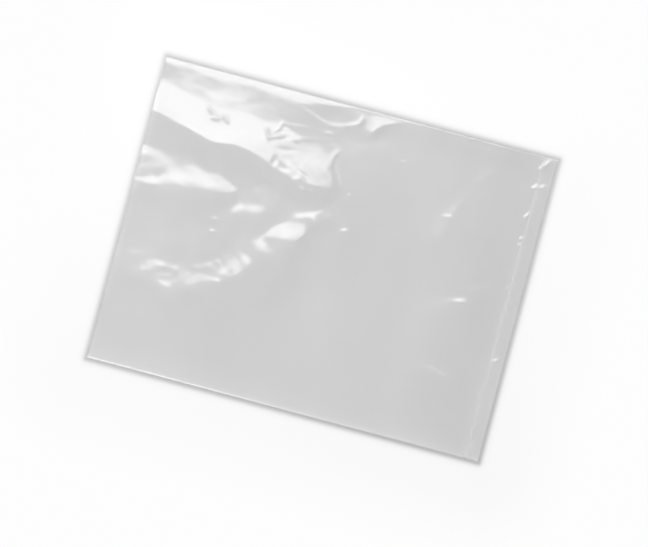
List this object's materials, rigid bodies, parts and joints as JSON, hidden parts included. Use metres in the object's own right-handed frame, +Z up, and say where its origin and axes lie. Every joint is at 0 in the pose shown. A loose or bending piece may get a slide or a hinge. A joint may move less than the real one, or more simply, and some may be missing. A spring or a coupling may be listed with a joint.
{
  "type": "flat poly bag",
  "caption": "Empty flat bag of clear polyethylene film, lying with its upper ply lightly creased: rolled side folds, a heat seal and short skirt across one end, an open mouth at the other.",
  "frame": {"origin": "under the middle of the bag, on the surface that it lies on", "axes": "+X along the bag from the open mouth to the sealed end, +Y across it from fold to fold, +Z up off the surface"},
  "size_m": [0.2636, 0.2032, 0.0041],
  "materials": {
    "clear_film": "clear glossy low-density polyethylene film with a faint haze"
  },
  "bodies": {
    "root": {"poly_bag": "clear_film"}
  },
  "joints": []
}
